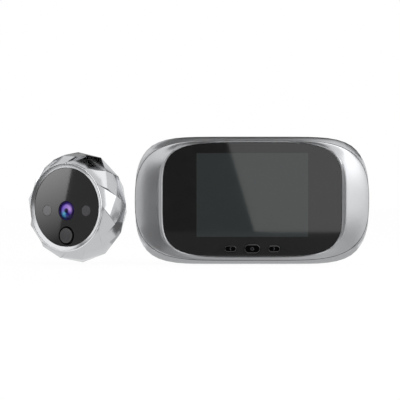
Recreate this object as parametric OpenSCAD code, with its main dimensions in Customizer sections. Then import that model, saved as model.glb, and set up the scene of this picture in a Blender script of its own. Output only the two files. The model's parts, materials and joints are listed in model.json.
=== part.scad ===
// Peephole door camera: an indoor monitor on its door bracket, with the outdoor unit beside it.
// Millimetres. The door plane is Y = 0, the viewer looks along +Y and Z is up.
// The origin is the centre of the bracket's face on the door.

/* [Front glass] */
// Width of the black front glass
glass_w = 92.6; // [86:0.2:104]
// How much taller the front glass is than the display
glass_over = 12.6; // [12:0.2:18]
// Thickness of the front glass
glass_t = 1.5; // [1:0.1:2.5]
// How far the glass sits behind the lip
glass_recess = 0.6; // [0.3:0.1:1]
// Height of the glass centre above the body centre
glass_rise = 0.4; // [0:0.1:1]
// Width of the ledge that carries the glass
glass_ledge = 1.1; // [0.8:0.1:1.6]
// How square the glass outline is (superellipse power)
glass_power = 4.5; // [3.5:0.1:6]

/* [Monitor body] */
// Width of the raised lip at the left and right of the glass
lip_side = 2.7; // [2:0.1:4]
// Width of the raised lip above and below the glass
lip_top = 0.75; // [0.6:0.05:1.5]
// Width of the hollow cheeks at the left and right
cheek_w = 11.6; // [10:0.2:16]
// How far the bezel spreads above and below the lip
brow_w = 0.8; // [0.4:0.1:2]
// How far the lip stands in front of the parting line
bezel_rise = 6.5; // [5.5:0.1:8]
// Height of the upright edge of the bezel at the parting line
bezel_edge = 0.8; // [0.5:0.1:1.2]
// How far the rear housing swells above and below the bezel
swell_top = 2.2; // [1:0.1:3]
// How far the rear housing swells beside the bezel
swell_side = 0.1; // [0.1:0.1:1]
// Distance from the parting line back to the widest section
swell_back = 4.3; // [3:0.1:6]
// How far the back face is drawn in from the widest section
rear_taper = 4.4; // [3:0.1:5]
// How square the body outline is (superellipse power)
body_power = 4; // [3.6:0.1:4.6]
// How straight the top and bottom of the widest section are (superellipse power along the width)
swell_power_w = 6.5; // [5:0.1:8]
// How full the ends of the widest section are (superellipse power along the height)
swell_power_h = 3; // [2.8:0.1:4]
// Wall of the housing and bezel
wall = 1.8; // [1.4:0.1:2.4]

/* [Display] */
// Width of the display panel
lcd_w = 65; // [58:0.5:68]
// Height of the display panel
lcd_h = 46.4; // [42:0.2:47]
// Thickness of the display panel
lcd_t = 0.9; // [0.6:0.1:1.4]
// Thickness of the backlight tray
backlight_t = 1.3; // [1:0.1:2]
// How far the backlight tray stands out beyond the panel
backlight_margin = 0.5; // [0.2:0.1:0.8]
// Height of the display centre above the glass centre
lcd_rise = 2.4; // [1.6:0.1:3]

/* [Keys] */
// Width of the two side keys
side_key_w = 6; // [4.4:0.1:7]
// Height of the two side keys
side_key_h = 3.1; // [2.4:0.1:4]
// Width of the power key
power_key_w = 8; // [6:0.1:9]
// Height of the power key
power_key_h = 4.3; // [3.2:0.1:4.6]
// Distance from the power key to each side key
key_pitch = 11.3; // [10:0.1:14]
// Distance of the keys below the display
key_room = 4.6; // [4.3:0.1:5]
// How far a key stands in front of the glass
key_proud = 0.6; // [0.3:0.1:1]
// How far a key can be pressed
key_travel = 0.5; // [0.3:0.1:0.6]

/* [Circuit board] */
// Thickness of the main board
board_t = 1.2; // [0.8:0.1:1.6]
// Height of the key switches
switch_h = 0.6; // [0.4:0.1:0.8]
// Diameter of the speaker
speaker_d = 15; // [12:0.5:16]
// Height of the speaker
speaker_h = 3.5; // [2.5:0.1:5]

/* [Batteries] */
// Diameter of an AAA cell
cell_d = 10.5; // [10:0.1:11]
// Length of an AAA cell with its nub
cell_l = 44.5; // [43:0.1:45]
// Number of cells side by side
cell_count = 3; // [2:1:3]
// Room for the spring plate at each end of a cell
contact_room = 1.3; // [1.1:0.1:1.6]
// Distance of the battery bay to the right of the body centre
bay_x = 22; // [21:0.1:23]
// Wall of the battery bay
bay_wall = 1.2; // [1:0.1:1.6]
// Thickness of the battery door
door_t = 2.1; // [1.8:0.1:2.6]
// Width of the ledge that the battery door lies on
door_ledge = 1.2; // [0.8:0.1:1.4]
// Radius of the battery door's hinge pins
pin_r = 0.6; // [0.5:0.05:0.8]
// Length of each hinge pin in the housing
pin_l = 1.2; // [1:0.1:1.6]

/* [Door bracket] */
// Width of the bracket plate
bracket_w = 42; // [40:0.5:44]
// Height of the bracket plate
bracket_h = 46; // [44:0.5:50]
// Thickness of the bracket's sheet steel
bracket_t = 1.2; // [0.8:0.1:1.6]
// Radius of the bracket's corners
bracket_corner = 4; // [2:0.5:8]
// Distance of the bracket to the left of the body centre
bracket_x = 20; // [19:0.1:21]
// Radius of the bracket's hole for the hollow fixing bolt
bolt_hole_r = 6.2; // [5.5:0.1:7]
// Distance between the two wood screw holes
screw_span = 34; // [32:0.5:38]
// Radius of the wood screw holes
screw_hole_r = 1.75; // [1.5:0.05:2.2]
// Distance of the hooks to each side of the bracket centre
hook_x = 16; // [15.5:0.1:17]
// Distance of the hooks above and below the bracket centre
hook_y = 12; // [11:0.1:13]
// Width of a hook
hook_w = 4; // [3:0.1:5]
// Height of a hook's upright tip
hook_tip = 4.5; // [3.5:0.1:5.2]
// How far the monitor is lifted to come off the hooks
lift = 6; // [5.5:0.1:7]
// Radius of the pocket for the bolt head and the cable plug
pocket_r = 11; // [9:0.1:11.5]
// Depth of that pocket
pocket_d = 8; // [6:0.1:9]

/* [Outdoor unit] */
// Number of facets round the dome
facet_count = 12; // [10:1:16]
// Turn of each row of facets against the row before
facet_twist = 9; // [0:1:14]
// Distance from the trim ring out to the dome's front edge
dome_step = 0.3; // [0.2:0.1:1]
// How far the first row of points lies outside the front edge
shoulder_out = 3.2; // [2.8:0.1:4]
// How far the second row of points lies outside the first
side_out = 1.4; // [1:0.1:2.5]
// How far the widest row of points lies outside the second
widest_out = 1; // [0.4:0.1:1.5]
// How far the back edge is drawn in from the widest row
back_in = 3.3; // [2:0.1:3.6]
// Depth of the second row of points behind the front edge
side_depth = 6.1; // [4:0.1:7]
// Depth of the widest row of points behind the front edge
widest_depth = 12.5; // [10:0.1:14]
// Depth of the dome from its front edge to its back edge
dome_depth = 18; // [16.5:0.1:20]
// How far the dome's hollow lies outside its front edge
bore_step = 0.2; // [0.1:0.1:0.4]
// Radius of the black round face
face_r = 20.4; // [18:0.1:23]
// Thickness of the black round face
face_t = 1.5; // [1.2:0.1:2]
// Width of the ledge that carries the face
face_ledge = 0.8; // [0.6:0.1:1]
// How far the trim ring stands in front of the dome
ring_proud = 0.9; // [0.6:0.1:1.4]
// How far the face lies behind the trim ring's edge
face_recess = 1; // [0.4:0.1:1.2]
// Width of the trim ring round the face
ring_w = 2.5; // [2:0.1:2.8]
// Distance of the lens below the centre of the face
lens_drop = 1.8; // [0:0.1:3]
// Radius of the lens barrel's front
lens_r = 4.9; // [4.5:0.1:5.2]
// Radius of the front lens
lens_glass_r = 4.3; // [3:0.1:4.4]
// Radius of the infrared windows
ir_r = 2.7; // [2.4:0.1:3]
// Distance of the infrared windows in from the edge of the face
ir_inset = 8; // [7:0.1:8.5]
// Distance of the bell button in from the edge of the face
bell_inset = 5.7; // [5.6:0.1:6.2]
// Radius of the bell button
bell_r = 3.9; // [3.4:0.1:4]
// Radius of the dished seat round the bell button
bell_dish_r = 4.9; // [4.5:0.1:5]
// How far the bell button can be pressed
bell_travel = 0.8; // [0.4:0.1:1]
// Distance of the screw posts in from the wall of the dome's hollow
post_inset = 4.7; // [4.2:0.1:5]
// Radius of the threaded socket's wall (M12 by 1)
socket_r = 5.5; // [5:0.1:6]
// Outside radius of the threaded socket
socket_flange_r = 8; // [7.4:0.1:9]
// Thickness of the rubber gasket
gasket_t = 1; // [0.6:0.1:1.6]
// Thickness of the back plate
back_t = 2; // [1.8:0.1:3]

/* [Layout] */
// Gap between the monitor's side and the dome, seen from the front
pair_room = 4.3; // [3:0.1:30]
// Turn of the outdoor unit away from the viewer
yaw = 32; // [0:1:45]
// How far the outdoor unit's centre lies below the monitor's
pair_drop = 3.5; // [0:0.1:8]
// How far the dome's widest section stands in front of the door plane
pair_front = 11; // [8:0.5:20]

/* [Fits] */
// Gap between pieces that move past each other
move_gap = 0.3; // [0.2:0.05:0.4]
// Gap between a key or the bell button and its hole
key_gap = 0.2; // [0.15:0.05:0.3]
// Gap between pieces that are fitted together
seat_gap = 0.15; // [0.05:0.05:0.2]
// Radial running clearance of a pin or screw in its bore
run_gap = 0.05; // [0.03:0.01:0.08]

/* [Hidden] */
$fn = 64;
ring_points = 96;

// Outlines of the monitor, as half widths and half heights
glass_a = glass_w / 2;
glass_b = (lcd_h + glass_over) / 2;
lip_a = glass_a + lip_side;
lip_b = glass_b + lip_top;
edge_a = lip_a + cheek_w;
edge_b = lip_b + brow_w;
body_a = edge_a + swell_side;
body_b = edge_b + swell_top;
rear_a = body_a - rear_taper;
rear_b = body_b - rear_taper;
inner_a = lip_a - wall;
inner_b = lip_b - wall;
hollow_a = edge_a - wall - bezel_edge;
hollow_b = edge_b - wall;

// Depth of the monitor's layers in front of the door plane
rear_z = bracket_t + move_gap;
door_seat_z = rear_z + door_t + move_gap;
cell_z = door_seat_z + move_gap + cell_d / 2;
bay_floor_z = cell_z + cell_d / 2 + move_gap;
board_rear_z = bay_floor_z + bay_wall + move_gap;
board_front_z = board_rear_z + board_t;
backlight_z = board_front_z + move_gap;
lcd_z = backlight_z + backlight_t;
glass_rear_z = lcd_z + lcd_t + seat_gap;
glass_front_z = glass_rear_z + glass_t;
front_z = glass_front_z + glass_recess;
part_z = front_z - bezel_rise;
widest_z = part_z - swell_back;
ledge_t = 1.3;
ledge_rear_z = glass_rear_z - ledge_t;

// Board, posts and screws of the monitor
board_a = inner_a + 0.3;
board_b = inner_b - 2;
post_r = 2.1;
board_post_x = board_a - 2.2;
board_post_y = 8;
board_screw_r = 0.95;
board_head_r = 1.8;
board_head_h = 1.1;
board_screw_hold = 5;
chip_h = 1.2;
switch_w = 3.6;
switch_l = 3;
tube_inset = 9.2;
tube_x = edge_a - tube_inset;
tube_y = 12;
tube_r = 3.2;
boss_r = 2.4;
boss_rear_z = widest_z - 1.5;
case_screw_r = 1.2;
case_head_r = 2.2;
case_head_h = 1.6;
case_head_z = rear_z + 2.6;
speaker_x = -(rear_a - wall - speaker_d / 2 - 0.6);
cone_depth = 1;
collar_h = 1.6;

// Battery bay, door and hinge
cell_step = cell_d + 0.5;
bay_w = cell_count * cell_step + 0.5;
bay_h = cell_l + 2 * contact_room;
door_hole_w = bay_w + 2 * door_ledge;
door_hole_h = bay_h + 2 * door_ledge;
door_w = door_hole_w - 2 * move_gap;
door_r = door_t / 2;
hinge_y = door_hole_h / 2 - move_gap - door_r;
hinge_z = rear_z + door_r;
door_drop = hinge_y + door_hole_h / 2 - move_gap;
collar_w = door_hole_w + 2 * (pin_l + bay_wall);
nub_r = 1.9;
nub_l = 1.2;
contact_t = 0.4;

// Bracket hooks and the slots that they go through
hook_t = bracket_t;
tip_z = rear_z + wall + move_gap;
slot_h = lift + hook_t + 2 * move_gap;
slot_w = hook_w + 2 * move_gap;
tab_l = tip_z + hook_tip;
socket_w = 12;
socket_h = 5;
out_socket_w = 7;
out_socket_h = 3.4;

// Keys
key_y = glass_rise + lcd_rise - lcd_h / 2 - key_room;
flange = 0.5;
flange_t = 0.7;
stem_r = 0.9;
stem_z = board_front_z + switch_h + key_travel + 0.1;

// Radii of the outdoor unit, all from its face
ring_r = face_r + ring_w;
dome_front_r = ring_r + dome_step;
dome_shoulder_r = dome_front_r + shoulder_out;
dome_side_r = dome_shoulder_r + side_out;
dome_r = dome_side_r + widest_out;
dome_back_r = dome_r - back_in;
dome_bore_r = dome_front_r + bore_step;
post_circle = dome_bore_r - post_inset;
ir_x = face_r - ir_inset;
bell_drop = face_r - bell_inset;

// Layers of the outdoor unit in front of its door face
plate_z = gasket_t;
tube_z = plate_z + back_t;
cam_board_z = tube_z + 3;
cam_board_front_z = cam_board_z + board_t;
dome_z = plate_z + dome_depth;
ring_z = dome_z + ring_proud;
face_front_z = ring_z - face_recess;
face_rear_z = face_front_z - face_t;
face_ledge_t = 1.5;
face_hole_r = face_r + seat_gap;
dome_hole_r = face_hole_r + 0.6;
plate_r = dome_bore_r - seat_gap;
dome_post_r = 2.8;
plate_screw_r = 1.1;
plate_head_r = 2;
plate_head_h = 1.4;
bell_switch_w = 6;
bell_switch_h = 3.5;
plate_screw_hold = 6;
bell_flange_t = 1;
bell_stem_r = 1.6;
bell_stem_z = cam_board_front_z + bell_switch_h + bell_travel + 0.1;
holder_w = 13;
holder_h = 5;
thread_r = 4;
lens_bore_r = 2.2;
lens_base_z = face_front_z - 1.6;
sensor_w = 6.5;
sensor_t = 1;
led_r = 2.4;
led_l = 7;
leg_r = 0.3;
out_widest_z = dome_z - widest_depth;
pair_gap = body_a + pair_room + dome_r * cos(yaw);
out_x = bracket_x - pair_gap + out_widest_z * sin(yaw);
out_y = out_widest_z * cos(yaw) - pair_front;

// Frames: inside both, X is right, Y is up and Z comes out of the door towards the viewer
module monitor_frame() {
    translate([bracket_x, 0, 0]) rotate([90, 0, 0]) children();
}

module outdoor_frame() {
    translate([out_x, out_y, -pair_drop]) rotate([0, 0, -yaw]) rotate([90, 0, 0]) children();
}

// How far out a rounded outline lies in direction [c, s], found from the unit square inwards
function reach(c, s, power_w, power_h, r, steps = 12) = steps == 0 ? r :
    let (x = pow(r * c, power_w), y = pow(r * s, power_h))
    reach(c, s, power_w, power_h, r * (1 - (x + y - 1) / (power_w * x + power_h * y)), steps - 1);

// Points of a rounded outline (superellipse) at height z; power may be a pair [width, height]
function outline(z, a, b, power, rise = 0) = [
    for (i = [0 : ring_points - 1])
        let (
            t = 360 * i / ring_points,
            c = abs(cos(t)),
            s = abs(sin(t)),
            r = is_list(power)
                ? reach(c, s, power[0], power[1], 1 / max(c, s))
                : pow(pow(c, power) + pow(s, power), -1 / power)
        )
        [r * a * cos(t), r * b * sin(t) + rise, z]
];

// Solid through a stack of outlines, each given as [z, a, b, power, rise]
module loft(stack) {
    n = ring_points;
    last = len(stack) - 1;
    points = [for (s = stack) each outline(s[0], s[1], s[2], s[3], s[4])];
    sides = [
        for (j = [0 : last - 1], i = [0 : n - 1])
            let (k = (i + 1) % n, low = j * n, high = low + n)
            each [[low + i, high + i, high + k], [low + i, high + k, low + k]]
    ];
    back_cap = [for (i = [0 : n - 1]) i];
    front_cap = [for (i = [n - 1 : -1 : 0]) last * n + i];
    polyhedron(points, concat([back_cap, front_cap], sides));
}

// Straight slab with a rounded outline
module slab(z, h, a, b, power, rise = 0) {
    points = [for (p = outline(0, a, b, power, rise)) [p[0], p[1]]];
    translate([0, 0, z]) linear_extrude(h) polygon(points);
}

module block(z, size, x = 0, y = 0) {
    translate([x - size[0] / 2, y - size[1] / 2, z]) cube(size);
}

module rod(z, h, r, x = 0, y = 0) {
    translate([x, y, z]) cylinder(h = h, r = r);
}

module rounded_plate(w, h, r, t) {
    linear_extrude(t) union() {
        square([w - 2 * r, h], center = true);
        square([w, h - 2 * r], center = true);
        for (sx = [-1, 1], sy = [-1, 1])
            translate([sx * (w / 2 - r), sy * (h / 2 - r)]) circle(r = r);
    }
}

// Bar with half round ends, as wide as w and as high as h
module pill(w, h, t) {
    linear_extrude(t) union() {
        square([w - h, h], center = true);
        for (sx = [-1, 1]) translate([sx * (w - h) / 2, 0]) circle(d = h);
    }
}

module at_corners(x, y) {
    for (sx = [-1, 1], sy = [-1, 1]) translate([sx * x, sy * y, 0]) children();
}

module at_posts() {
    for (turn = [90, 210, 330]) rotate([0, 0, turn]) translate([post_circle, 0, 0]) children();
}

// Front bezel: hollow cheeks that sweep up to the lip round the glass
sweep_steps = 6;

function cheek(t) = [
    part_z + bezel_edge + (bezel_rise - bezel_edge - 0.9) * (1 - cos(90 * t)),
    edge_a - cheek_w * sin(90 * t),
    edge_b - brow_w * sin(90 * t),
    body_power,
    glass_rise * t
];

module bezel_skin() {
    loft(concat(
        [[part_z, edge_a, edge_b, body_power, 0]],
        [for (i = [0 : sweep_steps]) cheek(i / sweep_steps)],
        [
            [front_z - 0.35, lip_a - 0.1, lip_b - 0.05, body_power, glass_rise],
            [front_z - 0.1, lip_a - 0.35, lip_b - 0.15, body_power, glass_rise],
            [front_z, lip_a - 0.8, lip_b - 0.3, body_power, glass_rise]
        ]
    ));
}

module front_bezel() {
    color("silver") monitor_frame() difference() {
        union() {
            difference() {
                bezel_skin();
                loft([
                    [part_z - 1, inner_a + 5, inner_b + 0.3, body_power, glass_rise / 2],
                    [ledge_rear_z, inner_a, inner_b, body_power, glass_rise]
                ]);
            }
            intersection() {
                at_corners(tube_x, tube_y) rod(boss_rear_z, front_z - boss_rear_z, boss_r);
                union() {
                    bezel_skin();
                    block(boss_rear_z, [2 * edge_a, 2 * edge_b, part_z - boss_rear_z]);
                }
            }
        }
        slab(glass_rear_z, glass_t + glass_recess + 1, glass_a + seat_gap, glass_b + seat_gap,
            glass_power, glass_rise);
        loft([
            [glass_front_z, glass_a + seat_gap, glass_b + seat_gap, glass_power, glass_rise],
            [front_z + 0.02, lip_a - 0.7, lip_b - 0.28, body_power, glass_rise]
        ]);
        slab(ledge_rear_z - 1, ledge_t + 2, glass_a - glass_ledge, glass_b - glass_ledge,
            glass_power, glass_rise);
        at_corners(tube_x, tube_y)
            rod(boss_rear_z - 1, part_z - boss_rear_z + 1, case_screw_r + run_gap);
    }
}

module front_glass() {
    color("#202022") monitor_frame() difference() {
        slab(glass_rear_z, glass_t, glass_a, glass_b, glass_power, glass_rise);
        translate([0, key_y, glass_rear_z - 1]) {
            pill(power_key_w + 2 * key_gap, power_key_h + 2 * key_gap, glass_t + 2);
            for (sx = [-1, 1]) translate([sx * key_pitch, 0, 0])
                pill(side_key_w + 2 * key_gap, side_key_h + 2 * key_gap, glass_t + 2);
        }
    }
}

module lcd_panel() {
    color("#3a3c40") monitor_frame()
        block(lcd_z, [lcd_w, lcd_h, lcd_t], 0, glass_rise + lcd_rise);
}

module lcd_backlight() {
    w = lcd_w + 2 * backlight_margin;
    h = lcd_h + 2 * backlight_margin;
    color("gainsboro") monitor_frame()
        block(backlight_z, [w, h, backlight_t], 0, glass_rise + lcd_rise);
}

module main_board() {
    color("darkgreen") monitor_frame() difference() {
        slab(board_rear_z, board_t, board_a, board_b, body_power);
        at_corners(board_post_x, board_post_y)
            rod(board_rear_z - 1, board_t + 2, board_screw_r + run_gap);
    }
}

module board_chips() {
    // Width, height and place of each chip, as shares of the board's half width and half height
    chips = [
        [0.25, 0.45, -0.168, 0.605], [0.19, 0.23, -0.548, 0.68],
        [0.126, 0.19, -0.758, -0.605], [0.168, 0.3, -0.21, -0.643]
    ];
    color("#303030") monitor_frame() for (c = chips)
        block(board_rear_z - chip_h, [c[0] * board_a, c[1] * board_b, chip_h],
            c[2] * board_a, c[3] * board_b);
}

module cable_socket() {
    floor_z = rear_z + pocket_d;
    color("ivory") monitor_frame() translate([-bracket_x, 0, 0]) difference() {
        block(floor_z + 0.4, [socket_w, socket_h, board_rear_z - floor_z - 0.4]);
        block(floor_z - 1, [socket_w - 2, socket_h - 2.2, 5]);
    }
}

module key_switches() {
    color("#404040") monitor_frame()
        for (i = [-1, 0, 1])
            block(board_front_z, [switch_w, switch_l, switch_h], i * key_pitch, key_y);
}

module key(w, h, x) {
    color("#18181a") monitor_frame() translate([x, key_y, 0]) {
        translate([0, 0, glass_rear_z - move_gap])
            pill(w, h, glass_t + move_gap + key_proud);
        translate([0, 0, glass_rear_z - move_gap - flange_t])
            pill(w + 2 * flange, h + 2 * flange, flange_t);
        rod(stem_z, glass_rear_z - move_gap - stem_z, stem_r);
    }
}

module left_key() key(side_key_w, side_key_h, -key_pitch);
module power_key() key(power_key_w, power_key_h, 0);
module right_key() key(side_key_w, side_key_h, key_pitch);

module speaker() {
    color("#505050") monitor_frame() translate([speaker_x, 0, rear_z + wall]) difference() {
        cylinder(h = speaker_h, d = speaker_d);
        translate([0, 0, -1]) cylinder(h = 1 + cone_depth, d = speaker_d - 3);
    }
}

module housing_skin() {
    swell = [swell_power_w, swell_power_h];
    half_swell = (swell + [body_power, body_power]) / 2;
    loft([
        [rear_z, rear_a - 1, rear_b - 1, body_power, 0],
        [rear_z + 0.4, rear_a - 0.2, rear_b - 0.2, body_power, 0],
        [rear_z + 1.6, rear_a + 0.26 * rear_taper, rear_b + 0.26 * rear_taper, body_power, 0],
        [rear_z + 4, rear_a + 0.62 * rear_taper, rear_b + 0.62 * rear_taper, half_swell, 0],
        [widest_z - 2.2, body_a - 0.3, body_b - 0.3, swell, 0],
        [widest_z, body_a, body_b, swell, 0],
        [(widest_z + part_z) / 2, body_a, edge_b + 0.72 * swell_top, half_swell, 0],
        [part_z, edge_a, edge_b, body_power, 0]
    ]);
}

module housing_hollow() {
    loft([
        [rear_z + wall, rear_a - wall, rear_b - wall, body_power, 0],
        [rear_z + wall + 4, hollow_a - 0.6, hollow_b, body_power, 0],
        [part_z + 1, hollow_a, hollow_b, body_power, 0]
    ]);
}

// Grille: a ring of small holes round one in the middle
module speaker_grille() {
    rod(rear_z - 1, wall + 2, 0.7);
    for (ring = [1, 2], i = [0 : 6 * ring - 1]) rotate([0, 0, 60 * i / ring])
        rod(rear_z - 1, wall + 2, 0.7, 2.5 * ring);
}

module hook_slots() {
    for (sx = [-1, 1], sy = [-1, 1])
        block(rear_z - 1, [slot_w, slot_h, wall + 2], sx * hook_x - bracket_x,
            sy * hook_y + hook_t / 2 + move_gap - slot_h / 2);
}

module bay_shape(grow, z, h) {
    block(z, [bay_w + 2 * grow, bay_h + 2 * grow, h], bay_x);
}

module rear_housing() {
    color("silver") monitor_frame() difference() {
        union() {
            difference() {
                housing_skin();
                housing_hollow();
            }
            intersection() {
                union() {
                    bay_shape(bay_wall, rear_z, bay_floor_z + bay_wall - rear_z);
                    block(rear_z, [collar_w, door_hole_h + 2 * bay_wall, 4], bay_x);
                    rod(rear_z, pocket_d + bay_wall, pocket_r + bay_wall, -bracket_x);
                    rod(rear_z, wall + collar_h, speaker_d / 2 + 1.2, speaker_x);
                    at_corners(tube_x, tube_y)
                        rod(rear_z, boss_rear_z - rear_z, tube_r);
                    at_corners(board_post_x, board_post_y)
                        rod(rear_z, board_rear_z - rear_z, post_r);
                }
                union() {
                    housing_skin();
                    block(part_z - 1, [2 * inner_a, 2 * inner_b, board_rear_z - part_z + 1]);
                }
            }
        }
        bay_shape(0, rear_z - 1, bay_floor_z - rear_z + 1);
        block(rear_z - 1, [door_hole_w, door_hole_h, door_seat_z - rear_z + 1], bay_x);
        translate([bay_x - door_hole_w / 2 - pin_l, hinge_y, hinge_z]) rotate([0, 90, 0])
            cylinder(h = door_hole_w + 2 * pin_l, r = pin_r + run_gap);
        rod(rear_z - 1, pocket_d + 1, pocket_r, -bracket_x);
        block(rear_z, [socket_w + 2 * move_gap, socket_h + 2 * move_gap, pocket_d + wall],
            -bracket_x);
        rod(rear_z + wall, speaker_h, speaker_d / 2 + seat_gap, speaker_x);
        translate([speaker_x, 0, 0]) speaker_grille();
        hook_slots();
        at_corners(tube_x, tube_y) {
            rod(rear_z - 1, boss_rear_z - rear_z + 2, case_screw_r + run_gap);
            rod(rear_z - 1, case_head_z - rear_z + 1, case_head_r + seat_gap);
        }
        at_corners(board_post_x, board_post_y)
            rod(board_rear_z - board_screw_hold - 2, board_screw_hold + 3, board_screw_r + run_gap);
    }
}

module battery_door() {
    color("silver") monitor_frame() translate([bay_x, hinge_y, hinge_z]) {
        translate([-door_w / 2, -door_drop, -door_r]) cube([door_w, door_drop, door_t]);
        rotate([0, 90, 0]) {
            translate([0, 0, -door_w / 2]) cylinder(h = door_w, r = door_r);
            translate([0, 0, -door_w / 2 - pin_l]) cylinder(h = door_w + 2 * pin_l, r = pin_r);
        }
    }
}

function cell_x(i) = bay_x + (i - (cell_count - 1) / 2) * cell_step;

module battery_cells() {
    color("#c8a050") monitor_frame() for (i = [0 : cell_count - 1])
        translate([cell_x(i), 0, cell_z]) rotate([i % 2 == 0 ? -90 : 90, 0, 0]) {
            translate([0, 0, -cell_l / 2]) cylinder(h = cell_l - nub_l, d = cell_d);
            cylinder(h = cell_l / 2, r = nub_r);
        }
}

// Spring plates: a flat plate on the bay's end wall with a dimple that meets the cell
module battery_contacts() {
    plate_w = cell_d - 2;
    color("lightgray") monitor_frame() for (i = [0 : cell_count - 1], sy = [-1, 1])
        translate([cell_x(i), sy * bay_h / 2, cell_z]) rotate([sy * 90, 0, 0]) {
            translate([-plate_w / 2, -plate_w / 2, 0]) cube([plate_w, plate_w, contact_t]);
            cylinder(h = contact_room - 0.1, r1 = 2.4, r2 = 1.4);
        }
}

module screw(z, l, r, head_r, head_h) {
    difference() {
        union() {
            rod(z - head_h, head_h, head_r);
            rod(z, l, r);
        }
        for (turn = [0, 90]) rotate([0, 0, turn])
            block(z - head_h - 1, [1.5 * head_r, 0.5, 1 + head_h / 2]);
    }
}

module housing_screws() {
    color("dimgray") monitor_frame() at_corners(tube_x, tube_y)
        screw(case_head_z, part_z - case_head_z - 1, case_screw_r, case_head_r, case_head_h);
}

module board_screws() {
    color("dimgray") monitor_frame() at_corners(board_post_x, board_post_y)
        translate([0, 0, board_front_z]) mirror([0, 0, 1])
            screw(0, board_t + board_screw_hold, board_screw_r, board_head_r, board_head_h);
}

// Bracket: sheet steel with four tabs bent forwards and up
module hook() {
    y = -hook_t / 2;
    translate([-hook_w / 2, y, 0]) cube([hook_w, hook_t, tip_z + hook_t]);
    translate([-hook_w / 2, y, tip_z]) cube([hook_w, hook_t + hook_tip, hook_t]);
}

module door_bracket() {
    color("lightsteelblue") rotate([90, 0, 0]) union() {
        difference() {
            rounded_plate(bracket_w, bracket_h, bracket_corner, bracket_t);
            rod(-1, bracket_t + 2, bolt_hole_r);
            for (sy = [-1, 1]) rod(-1, bracket_t + 2, screw_hole_r, 0, sy * screw_span / 2);
            at_corners(hook_x, hook_y)
                block(-1, [slot_w, tab_l, bracket_t + 2], 0, tab_l / 2);
        }
        at_corners(hook_x, hook_y) hook();
    }
}

// Outdoor unit: rows of points round the dome, each row turned against the one before.
// The first row lies in the plane of the diamond between two front points and a side point.
half_step = 180 / facet_count;
front_reach = dome_front_r * cos(half_step);
shoulder_reach = dome_shoulder_r * cos(half_step + facet_twist);
side_reach = dome_side_r * cos(2 * facet_twist - half_step);
shoulder_depth = side_depth * (shoulder_reach - front_reach) / (side_reach - front_reach);
dome_rows = [
    [0, dome_front_r], [shoulder_depth, dome_shoulder_r], [side_depth, dome_side_r],
    [widest_depth, dome_r], [dome_depth, dome_back_r]
];

module dome_skin() {
    n = facet_count;
    last = len(dome_rows) - 1;
    points = [
        for (j = [0 : last], k = [0 : n - 1])
            let (turn = 360 * k / n - j * facet_twist, r = dome_rows[j][1])
            [r * cos(turn), r * sin(turn), dome_z - dome_rows[j][0]]
    ];
    diamonds = [
        for (k = [0 : n - 1])
            let (prev = (k + n - 1) % n, mid = n, low = 2 * n)
            each [
                [prev, k, low + k], [prev, low + k, mid + prev],
                [low + k, k, mid + k], [mid + prev, low + k, low + prev]
            ]
    ];
    bands = [
        for (j = [2 : last - 1], k = [0 : n - 1])
            let (next = (k + 1) % n, top = j * n, low = top + n)
            each [[top + k, top + next, low + next], [top + k, low + next, low + k]]
    ];
    front_cap = [for (k = [n - 1 : -1 : 0]) k];
    back_cap = [for (k = [0 : n - 1]) last * n + k];
    polyhedron(points, concat([front_cap, back_cap], diamonds, bands));
}

module faceted_shell() {
    hollow_top_z = face_rear_z - face_ledge_t;
    color("gainsboro") outdoor_frame() difference() {
        union() {
            difference() {
                dome_skin();
                rod(plate_z - 1, hollow_top_z - plate_z + 1, dome_bore_r);
                rod(plate_z - 1, dome_depth + 2, face_r - face_ledge);
                rod(face_rear_z, dome_depth, dome_hole_r);
            }
            at_posts() rod(cam_board_front_z, face_rear_z - cam_board_front_z, dome_post_r);
        }
        at_posts() rod(cam_board_front_z - 1, plate_screw_hold + 2, plate_screw_r + run_gap);
    }
}

module face_ring() {
    bead = 0.4;
    color("white") outdoor_frame() rotate_extrude() polygon([
        [face_hole_r, face_rear_z], [dome_hole_r - seat_gap / 2, face_rear_z],
        [dome_hole_r - seat_gap / 2, dome_z], [ring_r, dome_z],
        [ring_r, ring_z - bead], [ring_r - bead, ring_z], [face_hole_r, face_front_z + bead / 4]
    ]);
}

module face_cover() {
    dish = 0.6;
    color("#202022") outdoor_frame() difference() {
        rod(face_rear_z, face_t, face_r);
        rod(face_rear_z - 1, face_t + 2, lens_r + seat_gap, 0, -lens_drop);
        for (sx = [-1, 1]) rod(face_rear_z - 1, face_t + 2, ir_r + run_gap, sx * ir_x, -lens_drop);
        rod(face_rear_z - 1, face_t + 2, bell_r + key_gap, 0, -bell_drop);
        rod(face_front_z - dish, dish + 1, bell_dish_r, 0, -bell_drop);
    }
}

module lens_barrel() {
    throat_z = face_front_z - 4;
    color("#161618") outdoor_frame() translate([0, -lens_drop, 0]) difference() {
        union() {
            rod(throat_z, face_front_z - throat_z - 0.2, lens_r);
            rod(cam_board_front_z + sensor_t + 1, throat_z - cam_board_front_z - sensor_t - 1, thread_r);
        }
        rod(lens_base_z, ring_z - lens_base_z, lens_glass_r + run_gap);
        rod(cam_board_front_z, ring_z - cam_board_front_z, lens_bore_r);
    }
}

module front_lens() {
    crown = 0.9;
    ball_r = (lens_glass_r * lens_glass_r + crown * crown) / (2 * crown);
    color("#6a50b0") outdoor_frame() translate([0, -lens_drop, lens_base_z]) union() {
        cylinder(h = 0.8, r = lens_glass_r);
        translate([0, 0, 0.8]) intersection() {
            translate([0, 0, crown - ball_r]) sphere(r = ball_r);
            cylinder(h = crown, r = lens_glass_r);
        }
    }
}

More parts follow.
